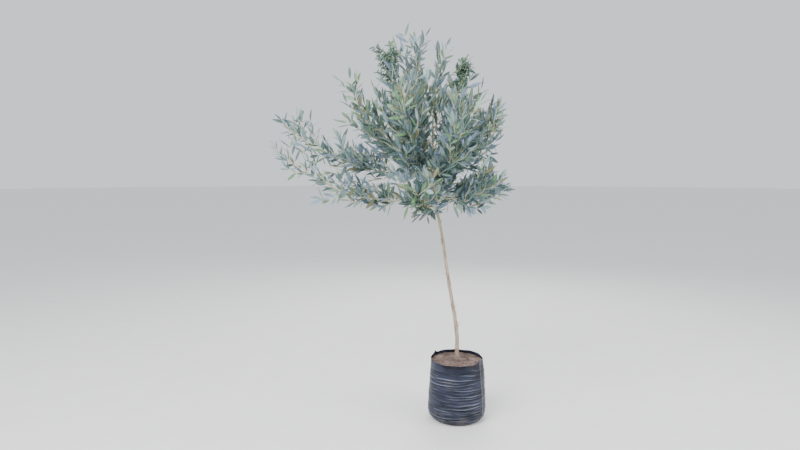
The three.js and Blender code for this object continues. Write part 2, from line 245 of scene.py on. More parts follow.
bagShape = {
    "height": 0.366,
    "belly": 0.346,             # widest diameter, just above the rounded bottom edge
    "mouth": 0.310,             # diameter at the rim
    "foot": 0.262,              # diameter of the flat underside
    "corner": 0.052,            # height of the rounded bottom edge
    "taperBend": 1.25,
    "bulge": 0.014,             # share of the radius by which the bag is out of round
    "oval": 0.6, "ovalTurn": 0.7,           # share of the bulge that is oval, and its turn in radians
    "lobes": 0.4, "lobeHeight": 0.110,      # share with three lobes, which turn slowly with the height
    "cageSides": 24,
    "cageRows": 20,
    "cornerRows": 3,
    "footInsets": (0.008, 0.037, 0.037),
    "smoothing": 3, "sharpFrom": 50,
    "film": 0.0009,
    "axisReach": 0.02,          # nearer the axis than this a push sideways fades out
}
creaseShape = {
    "seed": 152,
    "lowest": 0.028,
    "highest": 0.336,
    "spacing": (0.0125, 0.0175),            # from one level of creases to the next, wider higher up
    "perLevel": 3,
    "scatter": 0.3,             # as a share of the even turn between two creases
    "halfWidth": (0.80, 1.90),  # radians round the bag
    "depth": (0.0016, 0.0038),
    "thickness": (0.0028, 0.0046),
    "tilt": 0.050,
    "wander": 0.0045,
    "sag": (-0.001, 0.014),     # how far a crease's ends stand above its middle
    "ripple": 0.0013, "ripples": 8,         # height and number round the bag
    "crestBend": 1.3,
    "valley": 0.75, "valleyPlace": 1.6,     # share of the crest's depth, and thicknesses under the crest
    "start": (0.004, 0.030),    # heights over which the creases begin above the foot
    "fade": (0.29, 0.35),       # heights over which they die away below the rim
    "faded": 0.80,
}
filmRelief = {                  # height, bumps per metre, offset, and heights over which it begins
    "crinkle": (0.0011, (14, 14, 115), 3.0, (0.01, 0.05)),
    "slow": (0.0022, (9, 9, 16), 0.0, (0.01, 0.06)),
    "fine": (0.0007, (60, 60, 110), 5.0, (0.01, 0.04)),
}
foldShape = {                   # the two lengthwise folds of the tube that the bag was made from
    "angles": (-0.62, 2.52),
    "height": 0.0026,
    "thickness": 0.0055,
    "start": (0, 0.06),
    "bend": 1.5,
    "clear": 0.026,             # how far from a fold the creases die out
    "cleared": 0.9,
    "sway": 0.006, "swayHeight": 0.060,
}
rimShape = {
    "front": 0.0085,            # how far the rim is lower at the front
    "frontBend": 1.5,
    "lowerReach": 0.030,
    "wave": 0.0014,
    "waves": ((1.0, 5, 1.1), (0.6, 11, 0.3)),       # share, number round the rim and turn of each
    "folds": 11,
    "foldSwing": 2.2, "foldSwings": 3, "foldTurn": 0.4,     # makes the folds' spacing uneven
    "foldDepth": 0.0014, "foldInwards": 0.2,
    "foldReach": 0.075,
    "ear": 0.017,               # how far the rim rises where a lengthwise fold meets it
    "earWidth": 0.016,
    "earReach": 0.040,
}
drainHoles = {
    "radius": 0.0040, "count": 8, "rows": (0.046, 0.088), "turn": 0.2, "sides": 14, "depth": 0.030,
}
filmLook = {                    # colours, and noise as scale, detail and stretch
    # the film's colour varies in broad level bands between painted shade and painted sheen
    "paintedShadeFilm": (12, 14, 23), "paintedSheenFilm": (42, 47, 65), "paintedSheenFilmRange": (0.32, 0.62),
    "broad": (6, 4, (1, 1, 4.0)), "fine": (120, 3, (1, 1, 1.6)),
    "crestHighlight": (128, 133, 149), "crestHighlightShare": 0.80,             # painted highlight on the crests of the creases
    "crestHighlightRange": (0.15, 1.0), "crestHighlightBase": 0.55, "crestHighlightBroad": 0.45,
    # painted shade in the valleys under the crests of the creases
    "valley": (8, 9, 16), "valleyShadeShare": 0.85, "valleyShadeRange": (-0.9, -0.1),
    "dust": (112, 100, 92), "dustPatches": ((22, 5), 0.45, 0.75),
    "dustHeights": (0.01, 0.16), "dustBase": 0.05, "dustBelow": 0.30,       # more dust near the ground
    "roughness": 0.30, "broadRoughness": 0.16, "dustRoughness": 0.30,
    "specular": 0.22, "bump": (0.25, 0.0006),
}


def bagSideRadius(height):
    s = bagShape
    climb = max(0, (height - s["corner"]) / (s["height"] - s["corner"]))
    return (s["belly"] - (s["belly"] - s["mouth"]) * climb ** s["taperBend"]) / 2


def bagRings(inset, top):
    # (radius, height) of each ring up the wall, set in from the bag's outside
    s = bagShape
    cornerOut = bagSideRadius(s["corner"]) - s["foot"] / 2 - inset
    rings = []
    for row in range(1, s["cornerRows"] + 1):
        angle = row / s["cornerRows"] * math.pi / 2
        rings.append((s["foot"] / 2 + cornerOut * math.sin(angle),
                      inset + (s["corner"] - inset) * (1 - math.cos(angle))))
    for row in range(1, s["cageRows"] + 1):
        height = s["corner"] + (top - s["corner"]) * row / s["cageRows"]
        rings.append((bagSideRadius(height) - inset, height))
    return rings


def raiseWall(rings, radius, height):
    # extrudes the open edge from ring to ring
    bpy.ops.mesh.select_mode(type="EDGE")
    bpy.ops.mesh.select_all(action="DESELECT")
    bpy.ops.mesh.select_non_manifold(extend=False)
    for nextRadius, nextHeight in rings:
        rise = nextHeight - height
        bpy.ops.mesh.extrude_edges_move(TRANSFORM_OT_translate={"value": (0, 0, rise)})
        factor = nextRadius / radius
        bpy.ops.transform.resize(value=(factor, factor, 1), center_override=(0, 0, nextHeight))
        radius, height = nextRadius, nextHeight


def outOfRound(points):
    s = bagShape
    angle = angleRound(points)
    waves = (s["oval"] * np.sin(2 * angle + s["ovalTurn"])
             + s["lobes"] * np.sin(3 * angle + points[:, 2] / s["lobeHeight"]))
    factor = 1 + s["bulge"] * smoothFrom(points[:, 2], 0, s["corner"]) * waves
    points[:, :2] *= factor[:, None]
    return points


def creaseList():
    # long, nearly level creases, level by level up the wall
    s = creaseShape
    draw = np.random.default_rng(s["seed"])
    creases = []
    height = s["lowest"]
    while height < s["highest"]:
        turn = draw.uniform(0, 2 * np.pi)
        for step in range(s["perLevel"]):
            creases.append({
                "angle": turn + 2 * np.pi * (step + draw.uniform(-1, 1) * s["scatter"]) / s["perLevel"],
                "height": height + draw.uniform(-1, 1) * s["wander"],
                "halfWidth": draw.uniform(*s["halfWidth"]),
                "depth": draw.uniform(*s["depth"]),
                "thickness": draw.uniform(*s["thickness"]),
                "tilt": draw.uniform(-1, 1) * s["tilt"],
                "sag": draw.uniform(*s["sag"]),
                "phase": draw.uniform(0, 2 * np.pi),
            })
        climb = (height - s["lowest"]) / (s["highest"] - s["lowest"])
        height += s["spacing"][0] + (s["spacing"][1] - s["spacing"][0]) * climb
    return creases


def creaseRelief(angle, height):
    s = creaseShape
    relief = np.zeros(len(angle))
    for crease in creaseList():
        aside = turnFrom(crease["angle"], angle)
        share = aside / crease["halfWidth"]
        strength = np.clip(1 - share * share, 0, 1)
        ripple = s["ripple"] * np.sin(s["ripples"] * aside + crease["phase"])
        line = (crease["height"] + crease["tilt"] * aside * bagShape["mouth"] / 2
                + crease["sag"] * share * share + ripple)
        place = (height - line) / crease["thickness"]
        valley = s["valley"] * np.exp(-(place + s["valleyPlace"]) ** 2)
        relief += crease["depth"] * strength * (np.exp(-np.abs(place) ** s["crestBend"]) - valley)
    fade = 1 - s["faded"] * smoothFrom(height, *s["fade"])
    return relief * fade * smoothFrom(height, *s["start"])


def alongFold(angle, height, width):
    # 1 on a lengthwise fold, dying out to its sides
    s = foldShape
    near = np.zeros(len(angle))
    for place in s["angles"]:
        swayed = s["sway"] * np.sin(height / s["swayHeight"] + place)
        sideways = turnFrom(place, angle) * bagShape["mouth"] / 2 - swayed
        near += np.exp(-np.abs(sideways / width) ** s["bend"])
    return near


def nearRim(height, reach):
    return smoothFrom(height, bagShape["height"] - reach, bagShape["height"])


def reliefOf(kind, points):
    height, bumps, offset, start = filmRelief[kind]
    return height * roughness(points, bumps, offset) * smoothFrom(points[:, 2], *start)


def filmWaves(points):
    # the film's slow waves and the folds under its rim, which the soil's edge follows
    s = rimShape
    angle = angleRound(points)
    uneven = s["foldSwing"] * np.sin(s["foldSwings"] * angle + s["foldTurn"])
    folds = np.sin(s["folds"] * angle + uneven) - s["foldInwards"]
    return reliefOf("slow", points) + s["foldDepth"] * nearRim(points[:, 2], s["foldReach"]) * folds


def pushSideways(points, push):
    reach = np.hypot(points[:, 0], points[:, 1])
    points[:, :2] *= (1 + push / np.maximum(reach, bagShape["axisReach"]))[:, None]


def crumpleFilm(bag):
    s, fold = rimShape, foldShape
    points = outOfRound(readPoints(bag))
    angle = angleRound(points)
    height = points[:, 2].copy()
    creases = creaseRelief(angle, height) * (1 - fold["cleared"] * alongFold(angle, height, fold["clear"]))
    ridge = fold["height"] * alongFold(angle, height, fold["thickness"])
    creases += ridge * smoothFrom(height, *fold["start"]) + reliefOf("crinkle", points)
    # the creases' relief, kept for the painted highlight on their crests and the painted shade in their
    # valleys
    crest = bag.data.attributes.new("crease", "FLOAT", "POINT")
    crest.data.foreach_set("value", creases / creaseShape["depth"][1])
    pushSideways(points, creases + filmWaves(points) + reliefOf("fine", points))
    towardsFront = 0.5 - 0.5 * np.sin(angle)
    wave = sum(share * np.sin(number * angle + turn) for share, number, turn in s["waves"])
    lower = s["front"] * towardsFront ** s["frontBend"] + s["wave"] * (1 + wave)
    points[:, 2] -= lower * nearRim(height, s["lowerReach"])
    points[:, 2] += s["ear"] * nearRim(height, s["earReach"]) * alongFold(angle, height, s["earWidth"])
    writePoints(bag, points)


def punchHoles(bag):
    s = drainHoles
    cutters = []
    for row, height in enumerate(s["rows"]):
        for step in range(s["count"]):
            angle = 2 * math.pi * (step + row / 2 + s["turn"]) / s["count"]
            reach = bagSideRadius(height)
            bpy.ops.mesh.primitive_cylinder_add(
                vertices=s["sides"], radius=s["radius"], depth=s["depth"],
                location=(reach * math.cos(angle), reach * math.sin(angle), height),
                rotation=(0, math.pi / 2, angle))
            cutters.append(bpy.context.object)
    bpy.ops.object.select_all(action="DESELECT")
    for cutter in cutters:
        cutter.select_set(True)
    bpy.ops.object.join()
    punch = bpy.context.object
    applyModifier(bag, "BOOLEAN", object=punch, operation="DIFFERENCE", solver="MANIFOLD")
    bpy.data.objects.remove(punch)
    bag.data.materials.clear()                              # the cutters leave an empty slot behind
    bag.data.polygons.foreach_set("material_index", [0] * len(bag.data.polygons))


def filmPaint():
    look = filmLook
    paint = Paint("black_film")
    broad = paint.noise(*look["broad"])
    fine = paint.noise(*look["fine"])
    patches = paint.patches(*look["dustPatches"])
    low = 1 - paint.between(paint.height(), *look["dustHeights"])
    dust = patches * (look["dustBase"] + look["dustBelow"] * low)
    crest = paint.stored("crease")
    # painted highlight on the crests of the creases, stronger where the broad noise is high
    crestHighlight = paint.between(crest, *look["crestHighlightRange"]) * (look["crestHighlightBase"] + look["crestHighlightBroad"] * broad)
    # painted shade, darker in the valleys of the creases
    valley = 1 - paint.between(crest, *look["valleyShadeRange"])
    # broad bands of painted shade and painted sheen across the film
    film = paint.mix(paint.between(broad, *look["paintedSheenFilmRange"]), look["paintedShadeFilm"], look["paintedSheenFilm"])
    film = paint.mix(crestHighlight * look["crestHighlightShare"], film, look["crestHighlight"])
    film = paint.mix(valley * look["valleyShadeShare"], film, look["valley"])
    film = paint.mix(dust, film, look["dust"])
    roughness = look["roughness"] + look["broadRoughness"] * broad + look["dustRoughness"] * dust
    paint.surface.inputs["Specular IOR Level"].default_value = look["specular"]
    return paint.finish(film, roughness, fine, *look["bump"])


def makeBag():
    print("bag: film, creases and drain holes")
    s = bagShape
    bpy.ops.object.select_all(action="DESELECT")
    bpy.ops.mesh.primitive_circle_add(vertices=s["cageSides"], radius=s["foot"] / 2, fill_type="NGON")
    bag = bpy.context.object
    bag.name = "grow_bag"
    bpy.ops.object.mode_set(mode="EDIT")
    bpy.ops.mesh.select_all(action="SELECT")
    for width in s["footInsets"]:
        bpy.ops.mesh.inset(thickness=width)
    bpy.ops.mesh.poke()
    raiseWall(bagRings(0, s["height"]), s["foot"] / 2, 0)
    bpy.ops.object.mode_set(mode="OBJECT")
    outwards(bag)
    applyModifier(bag, "SUBSURF", levels=s["smoothing"], render_levels=s["smoothing"])
    crumpleFilm(bag)
    applyModifier(bag, "SOLIDIFY", thickness=s["film"], offset=-1)
    punchHoles(bag)
    shadeSmooth(bag, s["sharpFrom"])
    settle(bag, "film", [filmPaint()], ["bag"])


# Soil

soilShape = {
    "level": 0.350,             # at the stem
    "edge": 0.3455,             # where it meets the film
    "gap": 0.0055,              # clear of the film's creases, closed up near the top
    "topGap": 0.0030,
    "closing": (0.014, 0.002),  # how far under the edge the gap begins to close, and has closed
    "skin": (0.006, 0.001),     # how far under the edge the relief of the top begins, and is full
    "sides": 48,
    "insets": 13,
    "smoothing": 2, "sharpFrom": 60,
    "dishBend": 0.7,
    "mound": 0.0035,
    "moundReach": 0.045,
    "clods": (0.0030, 14),      # height and bumps per metre, flatter near the film
    "flatter": 0.7, "flatReach": (0.030, 0.004),
    "crumbles": ((0.0018, 52, 3.0), (0.0012, 150, 7.0), (0.0007, 330, 1.0)),
    "filmReach": 0.060,         # how far in from the rim the soil follows the film's waves
}
crumbShape = {
    "seed": 7,
    "kinds": (                  # name, number, radii and pale colour
        ("soil_crumbs", 2600, (0.0006, 0.0034), (144, 123, 115)),
        ("small_stones", 14, (0.0035, 0.0065), (176, 162, 148)),
    ),
    "fromFilm": 0.012, "fromStem": 0.022,
    "sizeBend": 2,              # makes most of them small
    "lumpy": (0.72, 1.15), "flat": 0.75, "lift": 0.25,
}
soilLook = {
    "dryTop": (154, 132, 125), "shadow": (80, 62, 54), "clumps": ((26, 6), 0.30, 0.70),
    "damp": (62, 48, 41), "dampShare": 0.50, "dampPatches": ((13, 5), 0.44, 0.62),
    "cracks": (74, 58, 50), "crumble": (170, 7), "crackRange": (0.30, 0.48),
    "speck": (166, 148, 133), "speckShare": 0.45, "grains": (420, 3), "speckRange": (0.60, 0.74),
    "roughness": (0.86, 0.12),  # at least, and how much more the grains add
    "relief": (0.7, 1.6, 0.5), "bump": (0.9, 0.0022),       # parts of grains, crumble and clumps
}


def moundSoil(soil):
    s = soilShape
    rim = bagShape["mouth"] / 2
    points = readPoints(soil)
    top = smoothFrom(points[:, 2], s["edge"] - s["skin"][0], s["edge"] - s["skin"][1])
    reach = np.hypot(points[:, 0], points[:, 1])
    lift = (s["level"] - s["edge"]) * (1 - smoothFrom(reach, 0, rim)) ** s["dishBend"]
    lift += s["mound"] * np.exp(-(reach / s["moundReach"]) ** 2)
    flatter = s["flatter"] * smoothFrom(reach, rim - s["flatReach"][0], rim - s["flatReach"][1])
    clod, bumps = s["clods"]
    lift += clod * roughness(points, bumps) * (1 - flatter)
    for height, bumps, offset in s["crumbles"]:
        lift += height * roughness(points, bumps, offset)
    points = outOfRound(points)
    follow = smoothFrom(reach, rim - s["filmReach"], bagShape["foot"] / 2)
    pushSideways(points, filmWaves(points) * follow)
    points[:, 2] += lift * top
    writePoints(soil, points)


def soilPaint(name, pale):
    look = soilLook
    paint = Paint(name)
    clumps = paint.patches(*look["clumps"])
    grains = paint.noise(*look["grains"])
    crumble = paint.noise(*look["crumble"])
    damp = paint.patches(*look["dampPatches"])
    earth = paint.mix(clumps, look["shadow"], pale)
    earth = paint.mix(damp * look["dampShare"], earth, look["damp"])
    earth = paint.mix(paint.between(crumble, *look["crackRange"]), look["cracks"], earth)
    earth = paint.mix(paint.between(grains, *look["speckRange"]) * look["speckShare"], earth, look["speck"])
    least, more = look["roughness"]
    fine, middle, coarse = look["relief"]
    relief = fine * grains + middle * crumble + coarse * clumps
    return paint.finish(earth, least + more * grains, relief, *look["bump"])


def makeSoil():
    print("soil: fill")
    s = soilShape
    wall = []
    for radius, height in bagRings(s["gap"], s["edge"]):
        closed = float(smoothFrom(height, s["edge"] - s["closing"][0], s["edge"] - s["closing"][1]))
        wall.append((radius + (s["gap"] - s["topGap"]) * closed, height))
    foot = bagShape["foot"] / 2
    bpy.ops.object.select_all(action="DESELECT")
    bpy.ops.mesh.primitive_circle_add(vertices=s["sides"], radius=foot, fill_type="NGON",
                                      location=(0, 0, s["gap"]))
    soil = bpy.context.object
    soil.name = "soil_fill"
    bpy.ops.object.transform_apply(location=True, rotation=True, scale=True)
    bpy.ops.object.mode_set(mode="EDIT")
    raiseWall(wall, foot, s["gap"])
    bpy.ops.mesh.edge_face_add()
    bpy.ops.mesh.select_mode(type="FACE")
    for _ in range(s["insets"]):
        bpy.ops.mesh.inset(thickness=wall[-1][0] / (s["insets"] + 1))
    bpy.ops.mesh.poke()
    bpy.ops.object.mode_set(mode="OBJECT")
    outwards(soil)
    applyModifier(soil, "SUBSURF", subdivision_type="SIMPLE", levels=s["smoothing"],
                  render_levels=s["smoothing"])
    moundSoil(soil)
    shadeSmooth(soil, s["sharpFrom"])
    settle(soil, "soil", [soilPaint("sandy_soil", soilLook["dryTop"])], ["soil"])
    return soil


def makeCrumbs(soil):
    print("soil: crumbs and small stones")
    s = crumbShape
    draw = np.random.default_rng(s["seed"])
    bpy.ops.object.select_all(action="DESELECT")
    bpy.ops.mesh.primitive_ico_sphere_add(subdivisions=1, radius=1)
    model = bpy.context.object
    corners = readPoints(model)
    sides = np.array([face.vertices[:] for face in model.data.polygons])
    bpy.data.objects.remove(model)
    for name, count, size, pale in s["kinds"]:
        points = []
        faces = []
        while len(points) < count:
            reach = (bagShape["mouth"] / 2 - s["fromFilm"]) * math.sqrt(draw.uniform())
            angle = draw.uniform(0, 2 * math.pi)
            if reach < s["fromStem"]:
                continue
            above = Vector((reach * math.cos(angle), reach * math.sin(angle), 1))
            _, spot, _, _ = soil.ray_cast(above, Vector((0, 0, -1)))
            radius = size[0] + (size[1] - size[0]) * draw.uniform() ** s["sizeBend"]
            lumpy = corners * draw.uniform(*s["lumpy"], corners.shape)
            turned = lumpy @ np.linalg.qr(draw.normal(size=(3, 3)))[0]
            faces.append(sides + len(points) * len(corners))
            points.append(np.array(spot) + turned * radius * (1, 1, s["flat"]) + (0, 0, radius * s["lift"]))
        crumbs = newPiece(name, np.vstack(points), np.vstack(faces).tolist())
        outwards(crumbs)
        settle(crumbs, "soil", [soilPaint(name, pale)], ["soil"])


# Lines of the limbs, grown by the same rule and draws as the frame's solids

trunkShape = {
    "length": 1.400,
    "footRadius": 0.0120,
    "tipRadius": 0.0050,
    "flare": 0.0050,            # extra radius of the root flare at the soil
    "flareHeight": 0.026,
    "lean": 0.155,
    "leanHeight": 1.250,
    "wave": 0.004,
    "waveLength": 0.600,
    "depthWave": 0.006,
    "depthLength": 0.860,
    "waveStart": 0.120,
    "foot": 0.3503,             # height of the soil at the stem
    "sunk": 0.008,              # how far the foot reaches into the soil
}
stubShape = {
    "heights": (0.185, 0.330, 0.455, 0.560, 0.700, 0.815),
    "turn": 137, "rise": 55, "length": 0.011, "radii": (0.0027, 0.0019),
    "swelling": 0.0019, "spread": 0.012,
}
spurShape = {                   # dry, hooked side shoots low on the trunk
    "heights": (0.205, 0.262, 0.312, 0.505),
    "headings": (-18, 22, -6, 160), "rise": 18, "hook": 16, "steps": (4, 3, 4, 3), "step": 0.008,
    "radii": (0.0017, 0.0008), "sides": 7,
    "start": 0.8,               # where they leave the trunk, as a share of its radius
    "pale": (206, 188, 162), "dark": (150, 130, 108),
}
boughTable = [  # name, from, heading, rise, tip rise, turn, bough, stem, spread
    ("low_left", 0.960, 181, -5, 33, 0.880, 0.370, 0.560, 0.125),
    ("mid_left", 1.100, 171, 0, 34, 0.900, 0.340, 0.580, 0.125),
    ("arch_left", 1.190, 188, 10, 70, 0.620, 0.210, 0.450, 0.125),
    ("outer_left", 1.235, 202, 14, 88, 0.430, 0.190, 0.430, 0.115),
    ("inner_left", 1.270, 150, 30, 90, 0.360, 0.130, 0.400, 0.115),
    ("near_left", 1.305, 218, 45, 90, 0.300, 0.110, 0.410, 0.110),
    ("top_right", 1.360, 12, 44, 72, 0.280, 0.080, 0.290, 0.095),
    ("short_right", 1.250, 338, 36, 66, 0.280, 0.080, 0.210, 0.090),
    ("arch_right", 1.175, 4, 4, 62, 0.440, 0.150, 0.290, 0.115),
    ("low_right", 0.975, 326, -5, 30, 0.440, 0.140, 0.260, 0.115),
    ("front_right", 1.040, 290, 10, 66, 0.480, 0.150, 0.400, 0.120),
    ("front_left", 1.120, 240, 16, 78, 0.460, 0.150, 0.430, 0.120),
    ("back_right", 1.135, 52, 14, 76, 0.460, 0.150, 0.440, 0.120),
    ("back_left", 1.060, 122, 10, 70, 0.480, 0.160, 0.430, 0.120),
    ("back_low", 1.000, 84, -2, 34, 0.480, 0.160, 0.320, 0.120),
    ("front_low", 0.925, 254, -4, 28, 0.480, 0.150, 0.300, 0.120),
    ("side_low", 0.950, 26, -3, 30, 0.440, 0.130, 0.240, 0.115),
]
boughKeys = ("name", "from", "heading", "rise", "tipRise", "turn", "bough", "stem", "spread")
leaderRow = ("leader", 0, 0, 86, 74, 0.400, 0, 0.390, 0.110)
growth = {
    "seedSpread": 2654435761, "seedFactor": 1664525, "seedStep": 1013904223,
    "lineSeed": 100, "twigSeed": 200,
    "step": 0.010,              # spacing of the points on a limb's line
    "sway": 7, "swayLength": 0.380,
    "steep": 0.8,               # climb past which a line counts as upright
    "boughShare": 0.62, "boughTip": 0.0030, "collar": 0.0012, "collarLength": 0.018,
    "stemTip": 0.0019,
    "twigFirst": 0.030, "twigSpacing": 0.122, "twigAngle": (38, 60), "twigLength": (0.75, 1.1),
    "twigTapering": 0.55, "twigLift": 0.2,
    "pairTurn": 90, "pairJitter": 14,
    "spaceMargin": 0.003,       # every point keeps this much nearer its own stem than any other
    "twigClearance": 0.012, "rootZone": 0.028,
}


def seededRandom(seed):
    state = seed * growth["seedSpread"] % 2 ** 32

    def draw(low, high):
        nonlocal state
        state = (state * growth["seedFactor"] + growth["seedStep"]) % 2 ** 32
        return low + (high - low) * state / 2 ** 32
    return draw


def unit(vector):
    return vector / np.linalg.norm(vector)


def direction(heading, rise):
    turn, climb = math.radians(heading), math.radians(rise)
    return np.array([math.cos(turn) * math.cos(climb), math.sin(turn) * math.cos(climb), math.sin(climb)])


def trunkPoint(height):
    s = trunkShape
    waving = smoothFrom(height, 0, s["waveStart"])
    sideways = s["wave"] * waving * math.sin(2 * math.pi * height / s["waveLength"])
    depthways = s["depthWave"] * waving * math.sin(2 * math.pi * height / s["depthLength"])
    lean = s["lean"] * smoothFrom(height, 0, s["leanHeight"])
    return np.array([sideways - lean, depthways, s["foot"] + height])


def trunkRadius(height):
    s = trunkShape
    taper = s["footRadius"] + (s["tipRadius"] - s["footRadius"]) * height / s["length"]
    return taper + s["flare"] * math.exp(-height / s["flareHeight"])


def boughRadius(limb, length):
    base = growth["boughShare"] * trunkRadius(limb["from"])
    taper = base + (growth["boughTip"] - base) * length / limb["bough"]
    return taper + growth["collar"] * math.exp(-length / growth["collarLength"])


def growLine(line, limb, random):
    # carries a line on from its last point, turning from one climb to another and swaying
    phase = random(0, 2 * math.pi)
    points = list(line)
    for i in range(round((limb["bough"] + limb["stem"]) / growth["step"])):
        length = i * growth["step"]
        turnedBy = smoothFrom(length, 0, limb["turn"])
        sway = growth["sway"] * math.sin(phase + 2 * math.pi * length / growth["swayLength"])
        rise = limb["rise"] + (limb["tipRise"] - limb["rise"]) * turnedBy + sway / 2
        points.append(points[-1] + direction(limb["heading"] + sway, rise) * growth["step"])
    return np.array(points)


def pointOn(line, length):
    place = min(length / growth["step"], len(line) - 1)
    index = min(int(place), len(line) - 2)
    return line[index] + (line[index + 1] - line[index]) * (place - index)


def tangentOn(line, length):
    step = growth["step"]
    return unit(pointOn(line, length + step) - pointOn(line, max(length - step, 0)))


def acrossFrom(along):
    # a level direction across a line, or a fixed one across an upright line
    helper = np.array([0, 0, 1.0]) if abs(along[2]) < growth["steep"] else np.array([1.0, 0, 0])
    return unit(np.cross(helper, along))


def turnAbout(vector, axis, degrees):
    angle = math.radians(degrees)
    return (vector * math.cos(angle) + np.cross(axis, vector) * math.sin(angle)
            + axis * axis.dot(vector) * (1 - math.cos(angle)))


def branchOff(along, across, turn, angle):
    # a direction at an angle to an axis, on the side that a turn round the axis gives
    side = turnAbout(across, along, turn)
    return along * math.cos(math.radians(angle)) + side * math.sin(math.radians(angle))


trunkSteps = round(trunkShape["length"] / growth["step"])
trunkAxis = np.array([trunkPoint(i * growth["step"]) for i in range(trunkSteps + 1)])
limbs = []
for index, row in enumerate(boughTable):
    limb = dict(zip(boughKeys, row), index=index, stemRadius=growth["boughTip"])
    start = pointOn(trunkAxis, limb["from"])
    limb["line"] = growLine([start], limb, seededRandom(growth["lineSeed"] + index))
    limbs.append(limb)
leader = dict(zip(boughKeys, leaderRow), index=len(limbs), stemRadius=trunkShape["tipRadius"])
leader["line"] = growLine(trunkAxis, leader, seededRandom(growth["lineSeed"] + len(limbs)))
leader["bough"] = trunkShape["length"]
masses = [*limbs, leader]
for mass in masses:
    mass["stemPoints"] = mass["line"][round(mass["bough"] / growth["step"]):]
bareLines = [trunkAxis] + [limb["line"][:round(limb["bough"] / growth["step"])] for limb in limbs]
barePoints = np.vstack(bareLines)
stemCloud = np.vstack([mass["stemPoints"] for mass in masses])
stemOwner = np.concatenate([np.full(len(mass["stemPoints"]), mass["index"]) for mass in masses])


# Trunk and boughs

limbShape = {"sides": 4, "voxel": 0.0016, "smoothing": 7, "smoothShare": 0.5}
barkShape = {
    "aging": (0.05, 0.80),      # heights over which the bark turns from old and rough to young
    "reliefs": (                # height, extra height on old bark, bumps per metre and offset
        (0.00110, 0, (48, 48, 22), 0.0),
        (0.00022, 0.00050, (190, 190, 42), 2.0),
        (0.00012, 0.00020, (420, 420, 130), 9.0),
    ),
    "nub": 0.0026, "nubsFrom": 0.36, "nubs": ((120, 120, 170), 4.0),
    "ringSpacing": 0.041, "ringWidth": 0.0032, "ringHeight": 0.0011,    # old leaf joints round the stem
    "ringWander": 0.0020, "ringTurns": (30, 6.0), "ringBreaks": ((70, 70, 12), 8.0),
    "ringsEnd": (0.84, 0.92),
}
barkLook = {
    "greening": (0.75, 1.55),   # heights over which the old bark's look turns into the young bark's
    "old": ((134, 112, 94), (196, 176, 156)), "young": ((160, 150, 116), (200, 190, 154)),
    "patches": ((18, 5, (1, 1, 0.45)), 0.30, 0.70),
    "blotches": ((44, 4, (1, 1, 0.40)), 0.50, 0.68),
    "streaks": (90, 5, (1, 1, 0.16)), "streakRange": (0.40, 0.70),
    "fissures": ((250, 4, (1, 1, 0.11)), 0.54, 0.66),
    "blotch": ((112, 94, 79), 0.50, 0.34),      # colour, share and how much less of it on young bark
    "streak": ((110, 94, 80), 0.55, 0.30),
    "fissure": ((96, 80, 66), 0.45, 0.37),
    "pore": (222, 208, 190), "poreShare": 0.30, "pores": (230, (1, 1, 0.55)), "poreRange": (0.10, 0.26),
    "foot": (122, 98, 82), "footHeights": (0.35, 0.47), "footShare": 0.50,
    "roughness": (0.66, 0.22),  # at least, and how much more the streaks add
    "relief": (0.5, 0.7), "bump": (0.9, 0.0014),            # how much pores stand out and fissures sink in
}


def addLimb(name, points, radii):
    # a round limb along its points
    curve = bpy.data.curves.new(name, "CURVE")
    curve.dimensions = "3D"
    curve.bevel_depth = 1.0
    curve.bevel_resolution = limbShape["sides"]
    curve.use_fill_caps = True
    spline = curve.splines.new("POLY")
    spline.points.add(len(points) - 1)
    for knot, point, radius in zip(spline.points, points, radii):
        knot.co = (*point, 1)
        knot.radius = radius
    limb = bpy.data.objects.new(name, curve)
    bpy.context.collection.objects.link(limb)
    return limb


def swollenRadius(height):
    near = [math.exp(-((height - stub) / stubShape["spread"]) ** 2) for stub in stubShape["heights"]]
    return trunkRadius(height) + stubShape["swelling"] * sum(near)


def barkRelief(tree):
    s = barkShape
    points = readPoints(tree)
    normals = readPoints(tree, "normal")
    height = points[:, 2] - trunkShape["foot"]
    old = 1 - smoothFrom(height, *s["aging"])
    push = s["nub"] * np.clip(roughness(points, *s["nubs"]) - s["nubsFrom"], 0, 1)
    for depth, oldDepth, bumps, offset in s["reliefs"]:
        push += (depth + oldDepth * old) * roughness(points, bumps, offset)
    wandering = height + s["ringWander"] * roughness(points, *s["ringTurns"])
    fromRing = wandering % s["ringSpacing"] - s["ringSpacing"] / 2
    rings = np.exp(-(fromRing / s["ringWidth"]) ** 2) * (1 - smoothFrom(height, *s["ringsEnd"]))
    push += s["ringHeight"] * rings * (0.5 + 0.5 * roughness(points, *s["ringBreaks"]))
    writePoints(tree, points + normals * push[:, None])


def barkPaint():
    look = barkLook
    paint = Paint("young_bark")
    height = paint.height()
    patches = paint.patches(*look["patches"])
    blotches = paint.patches(*look["blotches"])
    streaks = paint.noise(*look["streaks"])
    dark = paint.between(streaks, *look["streakRange"])
    fissures = paint.patches(*look["fissures"])
    pores = paint.between(paint.spots(*look["pores"]), *look["poreRange"])
    upper = paint.between(height, *look["greening"])
    foot = (1 - paint.between(height, *look["footHeights"])) * look["footShare"]
    bark = paint.mix(upper, paint.mix(patches, *look["old"]), paint.mix(patches, *look["young"]))
    for name, pattern in (("blotch", blotches), ("streak", dark), ("fissure", fissures)):
        colour, share, less = look[name]
        bark = paint.mix(pattern * (share - less * upper), bark, colour)
    bark = paint.mix(foot, bark, look["foot"])
    bark = paint.mix((1 - pores) * look["poreShare"], bark, look["pore"])
    least, more = look["roughness"]
    out, sunk = look["relief"]
    relief = streaks + out * pores - sunk * fissures
    return paint.finish(bark, least + more * streaks, relief, *look["bump"])


